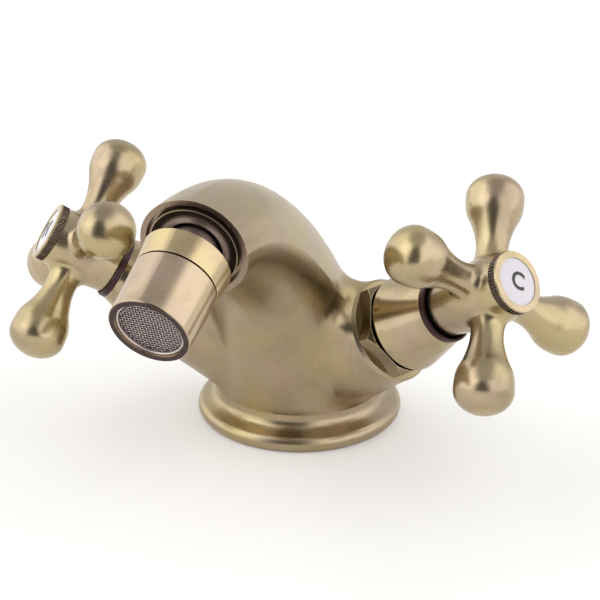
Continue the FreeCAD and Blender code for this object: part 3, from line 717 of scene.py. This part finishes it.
# ------------------------------------------------------------------ sub-assemblies
@dataclass
class Casting:
    """Base flange, trunk, swan neck and valve arms, with the gasket under them.

    Attributes:
        socket_lip: Frame just inside the neck's end face, beyond which that face is painted dark as
            shade.
        cast: Finish of the casting.
    """

    socket_lip: Matrix
    # Cast and ground brass: broad soft reflections, with faint lines along the neck.
    cast: BrushedBrass = BrushedBrass(
        "brass_cast_brushed_antique",
        Grain.IN_PLANE,
        olive="#AD9D76",
        rosy="#AB9981",
        stain="#8A766A",
        streak_mm=0.3,
        streak_tone=0.1,
        streak_depth_mm=0.001,
        roughness=(0.27, 0.32),
    )

    def build(self) -> None:
        """Dresses the casting and its gasket."""
        # The neck's end face beyond socket_lip is painted dark: painted shade in the socket's
        # mouth.
        dress(["mixer_body"], self.cast.material(Matrix.Identity(4), self.socket_lip))
        dress(["base_gasket"], NITRILE_RUBBER.material())


@dataclass
class Valve:
    """One valve: locknut, sleeve, headwork, spindle and the cross handle with its disc.

    Attributes:
        side: Cold or hot.
        handle_at: Hub's centre, out along the axis from the casting's centre line.
        arm_phase_deg: Turn of the handle's arms about the axis.
        axis_z: Height at which the axis leaves the casting's centre line.
        rise_deg: Angle of the axis above level.
        forward_deg: Turn of the axis towards the front.
        bezel_back: Back of the knurled ring's bezel, out from the hub's centre.
        disc_crown: Crown of the index disc, out from the hub's centre.
        letter_height: Type size of the letter.
        letter_depth: Enamel above and below the disc's crown.
        letter_bold: Width added to each side of the letter's strokes.
    """

    side: Side
    handle_at: float
    arm_phase_deg: float
    axis_z: float = 0.01393
    rise_deg: float = 32.25
    forward_deg: float = 23.74
    bezel_back: float = 0.00983
    disc_crown: float = 0.01043
    letter_height: float = 0.0068
    letter_depth: float = 0.00006
    letter_bold: float = 0.00012

    def axis(self) -> Vector:
        """Direction of the valve's axis, out through the handle."""
        rise, forward = math.radians(self.rise_deg), math.radians(self.forward_deg)
        return Vector(
            (
                self.side.sign * math.cos(rise) * math.cos(forward),
                -math.cos(rise) * math.sin(forward),
                math.sin(rise),
            )
        )

    def placement(self, distance: float = 0.0, turn_deg: float = 0.0) -> Matrix:
        """Frame on the valve's axis.

        Args:
            distance: How far out from the casting's centre line.
            turn_deg: Turn about the axis.

        Returns:
            The frame.
        """
        origin = Vector((0, 0, self.axis_z)) + self.axis() * distance
        return axis_frame(origin, self.axis(), turn_deg)

    def name(self, piece: str) -> str:
        """CAD node name of one of this valve's pieces."""
        return f"{self.side.prefix}_{piece}"

    def dress_fixed(self) -> None:
        """Dresses the pieces that stay with the casting."""
        # Turned cone: long crisp bands from end to end.
        turned = lathe_brass("brass_turned_brushed_antique", olive="#B2A27A", rosy="#B09D85")
        dress([self.name("sleeve")], turned.material(self.placement()))
        # Milled hexagon: flat dull faces between bright rubbed corners.
        nut = lathe_brass(
            "brass_milled_hexagon_antique",
            olive="#8F805C",
            rosy="#8A7966",
            roughness=(0.2, 0.28),
            edge_mm=0.35,
        )
        dress([self.name("locknut")], nut.material(self.placement()))
        # Painted shade: the sleeve's end ring and the headwork inside it are painted dark violet,
        # as the shaded hollow at the sleeve's end.
        dark = lathe_brass(
            "brass_turned_painted_dark_shade",
            olive="#4A3A38",
            rosy="#463438",
            worn="#66524C",
            roughness=(0.3, 0.42),
        )
        shaded = [self.name(piece) for piece in ("sleeve_ring", "headwork")]
        dress(shaded, dark.material(self.placement()))
        # Bare turned brass inside the valve: yellower and brighter than the outside.
        plain = lathe_brass(
            "brass_turned_bare",
            olive="#D7BB7D",
            rosy="#D1B080",
            worn="#F6DFA7",
            roughness=(0.2, 0.3),
        )
        bare = [self.name(piece) for piece in ("spindle", "jumper")]
        dress(bare, plain.material(self.placement()))
        seals = ("headwork_seal", "valve_washer", "spindle_seal")
        dress([self.name(piece) for piece in seals], NITRILE_RUBBER.material())

    def dress_handle(self) -> None:
        """Dresses the cross handle, its screw, the knurled ring and the disc."""
        hub = self.placement(self.handle_at, self.arm_phase_deg)
        # Cast, ground and brushed along each arm: smooth balls with one dark band.
        handle = BrushedBrass(
            "brass_cast_handle_brushed_antique",
            Grain.CROSS,
            olive="#B6A67D",
            rosy="#B4A188",
            streak_mm=0.3,
            streak_tone=0.1,
            streak_depth_mm=0.0005,
            roughness=(0.25, 0.29),
            edge_mm=0.06,
        )
        dress([self.name("cross_handle")], handle.material(hub))
        # Knurled ring: its knurled side is painted dark, a painted dark reflection, and its bezel
        # is rubbed bright.
        ring = lathe_brass("brass_knurled_ring_antique", worn="#F7E6B7", edge_mm=0.12)
        knurl = self.placement(self.handle_at + self.bezel_back) @ Matrix.Rotation(math.pi, 4, "X")
        dress([self.name("index_ring")], ring.material(self.placement(), knurl))
        dress([self.name("handle_screw")], PLATED_STEEL.material())
        dress([self.name("index_disc")], GLAZED_PORCELAIN.material())

    def letter_disc(self) -> bpy.types.Object:
        """Fires the plain letter onto the disc.

        Returns:
            The letter as a mesh object.
        """
        text = bpy.data.curves.new(self.name("letter"), "FONT")
        text.body = self.side.letter
        text.size = self.letter_height
        text.align_x = "CENTER"
        text.align_y = "CENTER"
        text.extrude = self.letter_depth
        text.offset = self.letter_bold
        drawn = bpy.data.objects.new(self.name("letter_outline"), text)
        mesh = bpy.data.meshes.new_from_object(drawn)
        bpy.data.objects.remove(drawn)
        front = self.handle_at + self.disc_crown
        placement = self.placement(front, self.arm_phase_deg)
        mesh.transform(placement @ Matrix.Rotation(-math.pi / 2, 4, "Z"))
        letter = bpy.data.objects.new(self.name("index_letter"), mesh)
        bpy.context.scene.collection.objects.link(letter)
        letter.data.materials.clear()
        letter.data.materials.append(FIRED_ENAMEL.material())
        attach(letter, f"{self.side.prefix}_handle")
        return letter

    def build(self) -> None:
        """Dresses the whole valve and letters its disc."""
        self.dress_fixed()
        self.dress_handle()
        self.letter_disc()


@dataclass
class Outlet:
    """Collar, ball joint, swivel ring and aerator, with the screen in its end.

    Attributes:
        ball: Centre of the ball joint.
        socket_dip_deg: Angle of the socket's axis below level.
        dip_deg: Angle of the nozzle's axis below level.
        yaw_deg: Turn of the nozzle's axis towards +X.
        lip_at: Just inside the neck's end face, out from the ball along the socket's axis.
        collar_rim: Just inside the collar's rim, along the same axis.
        shell_end: Just inside the shell's end face, out from the ball along the nozzle's axis.
        screen_at: Middle plane of the screen, along the same axis.
        screen_radius: Radius of the screen.
        wire_radius: Radius of a wire.
        wire_pitch: Distance between two wires.
        wire_sides: Sides of a wire's cross-section.
    """

    ball: tuple[float, float, float] = (0.0, -0.080059, 0.081894)
    socket_dip_deg: float = 13.6
    dip_deg: float = 24.7
    yaw_deg: float = -4.1
    lip_at: float = 0.00198
    collar_rim: float = 0.0025
    shell_end: float = 0.02909
    screen_at: float = 0.02752
    screen_radius: float = 0.0083
    wire_radius: float = 0.00013
    wire_pitch: float = 0.0008
    wire_sides: int = 6

    def direction(self, dip_deg: float, yaw_deg: float) -> Vector:
        """Direction that points forward, dips and turns towards the cold side.

        Args:
            dip_deg: Angle below level.
            yaw_deg: Turn towards +X.

        Returns:
            Unit vector.
        """
        dip, yaw = math.radians(dip_deg), math.radians(yaw_deg)
        return Vector(
            (math.cos(dip) * math.sin(yaw), -math.cos(dip) * math.cos(yaw), -math.sin(dip))
        )

    def nozzle_frame(self) -> Matrix:
        """Frame at the ball's centre, with Z out through the screen."""
        return axis_frame(self.ball, self.direction(self.dip_deg, self.yaw_deg))

    def socket_frame(self) -> Matrix:
        """Frame at the ball's centre, with Z out of the neck's end."""
        return axis_frame(self.ball, self.direction(self.socket_dip_deg, 0.0))

    def dress_metal(self) -> None:
        """Dresses the collar, the ball and the two shells."""
        # Dished collar: its dish is painted dark brown as shade, and only its rim is left bare and
        # bright.
        dished = lathe_brass(
            "brass_turned_dish_painted_shade",
            stain="#7C6B62",
            roughness=(0.34, 0.46),
            edge_wear=0.0,
        )
        rim = self.socket_frame() @ Matrix.Translation((0, 0, self.collar_rim))
        dish = rim @ Matrix.Rotation(math.pi, 4, "X")
        dress(["spout_collar"], dished.material(self.socket_frame(), dish))
        # Swivel ring: the brightest and yellowest piece, polished by use.
        bright = lathe_brass(
            "brass_turned_swivel_bright",
            olive="#CAB787",
            rosy="#C4AF8F",
            worn="#F0DCAC",
        )
        dress(["swivel_ring"], bright.material(self.nozzle_frame()))
        # Aerator shell: pinkish, in long bands, with its end face painted dark, a painted dark
        # reflection.
        shell = lathe_brass(
            "brass_turned_shell_antique", olive="#C2AE8D", rosy="#BEA897", edge_wear=0.2
        )
        end = self.nozzle_frame() @ Matrix.Translation((0, 0, self.shell_end))
        dress(["aerator_shell"], shell.material(self.nozzle_frame(), end))
        # Ball: painted dark all over, as the shade inside the collar.
        ball = lathe_brass(
            "brass_turned_ball_painted_shade",
            olive="#6E5E57",
            rosy="#6A5955",
            worn="#827068",
            roughness=(0.34, 0.46),
        )
        dress(["swivel_ball"], ball.material(self.nozzle_frame()))

    def lip_plane(self) -> Matrix:
        """Frame just inside the flat lip of the neck's end, with Z out of it."""
        return self.socket_frame() @ Matrix.Translation((0, 0, self.lip_at))

    def weave_screen(self) -> bpy.types.Object:
        """Weaves the round wire screen, each wire over and under its neighbours.

        Returns:
            The screen as one mesh object.
        """
        mesh = bpy.data.meshes.new("woven_screen")
        shape = bmesh.new()
        count = int(self.screen_radius / self.wire_pitch)
        for lay in (0, 1):
            for row in range(-count, count + 1):
                self.add_wire(shape, lay, row)
        shape.to_mesh(mesh)
        shape.free()
        for face in mesh.polygons:
            face.use_smooth = True
        mesh.transform(self.nozzle_frame() @ Matrix.Translation((0, 0, self.screen_at)))
        screen = bpy.data.objects.new("woven_screen", mesh)
        bpy.context.scene.collection.objects.link(screen)
        screen.data.materials.append(WOVEN_STEEL.material())
        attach(screen, "aerator")
        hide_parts("aerator_mesh")
        return screen

    def add_wire(self, shape: bmesh.types.BMesh, lay: int, row: int) -> None:
        """Adds one waved wire across the screen.

        Args:
            shape: Mesh that gets the wire.
            lay: 0 for wires along X, 1 for wires along Y.
            row: Place of the wire, counted from the middle.
        """
        across = row * self.wire_pitch
        half = math.sqrt(self.screen_radius**2 - across**2)
        steps = 2 * int(half / self.wire_pitch) + 1
        ring_before: list[bmesh.types.BMVert] = []
        for step in range(-steps, steps + 1):
            run = step * self.wire_pitch / 2
            phase = math.pi * (run / self.wire_pitch + row + lay)
            lift = self.wire_radius * math.cos(phase)
            ring = []
            for corner in range(self.wire_sides):
                angle = 2 * math.pi * corner / self.wire_sides
                side = self.wire_radius * math.cos(angle)
                height = lift + self.wire_radius * math.sin(angle)
                place = (run, across + side, height) if lay == 0 else (across + side, run, height)
                ring.append(shape.verts.new(place))
            for corner in range(self.wire_sides if ring_before else 0):
                beyond = (corner + 1) % self.wire_sides
                shape.faces.new(
                    (ring_before[corner], ring_before[beyond], ring[beyond], ring[corner])
                )
            ring_before = ring

    def build(self) -> None:
        """Dresses the outlet and weaves its screen."""
        self.dress_metal()
        dress(["socket_seal", "aerator_washer"], NITRILE_RUBBER.material())
        # The slip ring is black as painted shade inside the collar's dish.
        dress(["aerator_insert", "ball_slip_ring"], BLACK_ACETAL_AND_DISH_SHADE.material())
        dress(["mesh_rim"], DRAWN_STEEL.material())
        self.weave_screen()


# ------------------------------------------------------------------ studio
@dataclass
class Studio:
    """Pale floor, two wide soft walls of light with a dim gap near the camera, and the camera.

    The gap gives each ball of the handles its dark middle band.  The light is at a plain
    level, where a colour renders about as it is written.

    Attributes:
        azimuth_deg: Camera's turn from the front towards +X.
        elevation_deg: Camera's angle above level.
        roll_deg: Camera's roll.
        distance: From the frame's origin to the camera, along its view.
        focal_px: Focal length, in pixels of the picture.
        picture_px: Width of the picture.
        sensor_mm: Width of the camera's film.
        aim_right: Frame's origin, right of the picture's middle.
        aim_up: Frame's origin, above the picture's middle.
        gap_azimuth_deg: Middle of the gap, turned from the front towards +X.
        gap_edge: Bearings off that middle, in radians, between which the gap turns to wall.
        gap_light: Strength of the gap.
        wall_light: Strength of the walls.
        back_edge: Bearings between which the walls dim towards the back, in radians.
        back_share: Share of their light that is left there.
        ceiling_edge: Sines of the angle above level between which walls turn to ceiling.
        ceiling_light: Strength of the ceiling.
        floor_reach: Radius of the floor.
        floor_segments: Sides of the floor's outline.
        floor_colour: Paint of the floor.
        floor_roughness: Roughness of the paint.
        floor_gloss: Specular level of the paint.
        floor_lift: Strength added for rays that see the floor.
        softbox_place: Softbox in the camera's turned frame: right, nearer, up.
        softbox_size: Side of the softbox.
        softbox_power: Power of the softbox, in watts.
        tap_middle: Point that the softbox faces.
    """

    azimuth_deg: float = 18.02
    elevation_deg: float = 23.11
    roll_deg: float = 0.12
    distance: float = 0.5268
    focal_px: float = 1767.4
    picture_px: float = 600.0
    sensor_mm: float = 36.0
    aim_right: float = -0.00014
    aim_up: float = -0.03197
    gap_azimuth_deg: float = 5.0
    gap_edge: tuple[float, float] = (0.3, 0.66)
    gap_light: float = 0.1
    wall_light: float = 1.65
    back_edge: tuple[float, float] = (1.9, 2.6)
    back_share: float = 0.52
    ceiling_edge: tuple[float, float] = (0.75, 0.95)
    ceiling_light: float = 0.6
    floor_reach: float = 6.0
    floor_segments: int = 96
    floor_colour: str = "#EBEAE8"
    floor_roughness: float = 0.9
    floor_gloss: float = 0.1
    floor_lift: float = 0.22
    softbox_place: tuple[float, float, float] = (-0.9, 0.35, 0.9)
    softbox_size: float = 0.9
    softbox_power: float = 1.4
    tap_middle: tuple[float, float, float] = (0.0, -0.03, 0.05)

    def camera_axes(self) -> tuple[Vector, Vector, Vector]:
        """Right, up and back directions of the camera.

        Returns:
            The three unit vectors.
        """
        turn, lift = math.radians(self.azimuth_deg), math.radians(self.elevation_deg)
        back = Vector(
            (math.sin(turn) * math.cos(lift), -math.cos(turn) * math.cos(lift), math.sin(lift))
        )
        right = Vector((math.cos(turn), math.sin(turn), 0))
        up = back.cross(right)
        roll = math.radians(self.roll_deg)
        rolled_right = right * math.cos(roll) + up * math.sin(roll)
        rolled_up = up * math.cos(roll) - right * math.sin(roll)
        return rolled_right, rolled_up, back

    def place_camera(self) -> bpy.types.Object:
        """Sets the camera where the photograph was taken from.

        Returns:
            The camera object.
        """
        right, up, back = self.camera_axes()
        lens = bpy.data.cameras.new("camera")
        lens.sensor_width = self.sensor_mm
        lens.lens = self.focal_px / self.picture_px * lens.sensor_width
        camera = bpy.data.objects.new("camera", lens)
        bpy.context.scene.collection.objects.link(camera)
        place = -right * self.aim_right - up * self.aim_up + back * self.distance
        rotation = Matrix((right, up, back)).transposed().to_4x4()
        camera.matrix_world = Matrix.Translation(place) @ rotation
        bpy.context.scene.camera = camera
        return camera

    def lay_floor(self) -> bpy.types.Object:
        """Lays the matt pale floor that the tap stands on.

        Rays that see the floor, straight or mirrored, find it a little brighter, so that it
        looks white there.  The soft light that it throws back onto the tap stays as it is.

        Returns:
            The floor object.
        """
        mesh = bpy.data.meshes.new("floor")
        shape = bmesh.new()
        bmesh.ops.create_circle(
            shape, cap_ends=True, segments=self.floor_segments, radius=self.floor_reach
        )
        shape.to_mesh(mesh)
        shape.free()
        floor = bpy.data.objects.new("floor", mesh)
        bpy.context.scene.collection.objects.link(floor)
        material, tree = new_material("floor_matt_paint")
        path = add_node(tree, "ShaderNodeLightPath").outputs
        seen = largest(
            tree, [path[kind] for kind in ("Is Camera Ray", "Is Glossy Ray", "Is Transmission Ray")]
        )
        lift = add_node(
            tree, "ShaderNodeMath", {"operation": "MULTIPLY", 1: self.floor_lift}, {0: seen}
        )
        shader = add_node(
            tree,
            "ShaderNodeBsdfPrincipled",
            {
                "Base Color": linear(self.floor_colour),
                "Roughness": self.floor_roughness,
                "Specular IOR Level": self.floor_gloss,
                "Emission Color": linear("#FFFFFF"),
            },
            {"Emission Strength": lift.outputs[0]},
        )
        add_node(tree, "ShaderNodeOutputMaterial", links={"Surface": shader.outputs[0]})
        mesh.materials.append(material)
        return floor

    def light_room(self) -> None:
        """Fills the room with light: two wide bright walls with a dim gap between them."""
        world = bpy.data.worlds.new("soft_room")
        world.use_nodes = True
        tree = world.node_tree
        tree.nodes.clear()
        direction = add_node(tree, "ShaderNodeTexCoord").outputs["Generated"]
        turn = math.radians(self.gap_azimuth_deg)
        across, ahead = (
            add_node(
                tree, "ShaderNodeVectorMath", {"operation": "DOT_PRODUCT", 1: axis}, {0: direction}
            ).outputs["Value"]
            for axis in (
                (math.cos(turn), math.sin(turn), 0),
                (math.sin(turn), -math.cos(turn), 0),
            )
        )
        bearing = add_node(
            tree, "ShaderNodeMath", {"operation": "ARCTAN2"}, {0: across, 1: ahead}
        )
        aside = add_node(
            tree, "ShaderNodeMath", {"operation": "ABSOLUTE"}, {0: bearing.outputs[0]}
        )
        height = add_node(tree, "ShaderNodeSeparateXYZ", links={0: direction})
        fades = (
            (aside.outputs[0], self.gap_edge, (self.gap_light, self.wall_light)),
            (aside.outputs[0], self.back_edge, (1.0, self.back_share)),
            (height.outputs["Z"], self.ceiling_edge, (0.0, 1.0)),
        )
        front, back, ceiling = (
            add_node(
                tree,
                "ShaderNodeMapRange",
                {
                    "interpolation_type": "SMOOTHSTEP",
                    "From Min": edge[0],
                    "From Max": edge[1],
                    "To Min": level[0],
                    "To Max": level[1],
                },
                {"Value": value},
            ).outputs[0]
            for value, edge, level in fades
        )
        walls = add_node(
            tree, "ShaderNodeMath", {"operation": "MULTIPLY"}, {0: front, 1: back}
        )
        strength = add_node(
            tree,
            "ShaderNodeMix",
            {"data_type": "FLOAT", 3: self.ceiling_light},
            {0: ceiling, 2: walls.outputs[0]},
        )
        light = add_node(
            tree,
            "ShaderNodeBackground",
            {"Color": linear("#FFFFFF")},
            {"Strength": strength.outputs[0]},
        )
        add_node(tree, "ShaderNodeOutputWorld", links={"Surface": light.outputs[0]})
        bpy.context.scene.world = world

    def hang_softbox(self) -> bpy.types.Object:
        """Hangs one square softbox, up on the left, that faces the tap.

        Its place is given in the camera's turned frame: right, towards the camera, up.

        Returns:
            The lamp object.
        """
        name = "softbox_left"
        lamp = bpy.data.lights.new(name, "AREA")
        lamp.shape = "SQUARE"
        lamp.size = self.softbox_size
        lamp.energy = self.softbox_power
        right, nearer, up = self.softbox_place
        turn = Matrix.Rotation(math.radians(self.azimuth_deg), 4, "Z")
        spot = turn @ Vector((right, -nearer, up))
        facing = (spot - Vector(self.tap_middle)).normalized()
        softbox = bpy.data.objects.new(name, lamp)
        bpy.context.scene.collection.objects.link(softbox)
        softbox.rotation_euler = facing.to_track_quat("Z", "Y").to_euler()
        softbox.location = spot
        softbox.visible_camera = False
        return softbox

    def build(self) -> None:
        """Sets floor, light and camera."""
        bpy.context.scene.view_settings.view_transform = "Standard"
        self.lay_floor()
        self.light_room()
        self.hang_softbox()
        self.place_camera()


def main() -> None:
    """Builds the scene piece by piece and reports each one."""
    logging.basicConfig(level=logging.INFO, format="%(name)s: %(message)s")
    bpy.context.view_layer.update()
    outlet = Outlet()
    pieces = {
        "casting": Casting(outlet.lip_plane()),
        "cold valve": Valve(Side.COLD, handle_at=0.07898, arm_phase_deg=-38.0),
        "hot valve": Valve(Side.HOT, handle_at=0.07419, arm_phase_deg=34.8),
        "outlet": outlet,
        "studio": Studio(),
    }
    for name, piece in pieces.items():
        piece.build()
        LOG.info("%s is done", name)


if __name__ == "__main__":
    main()
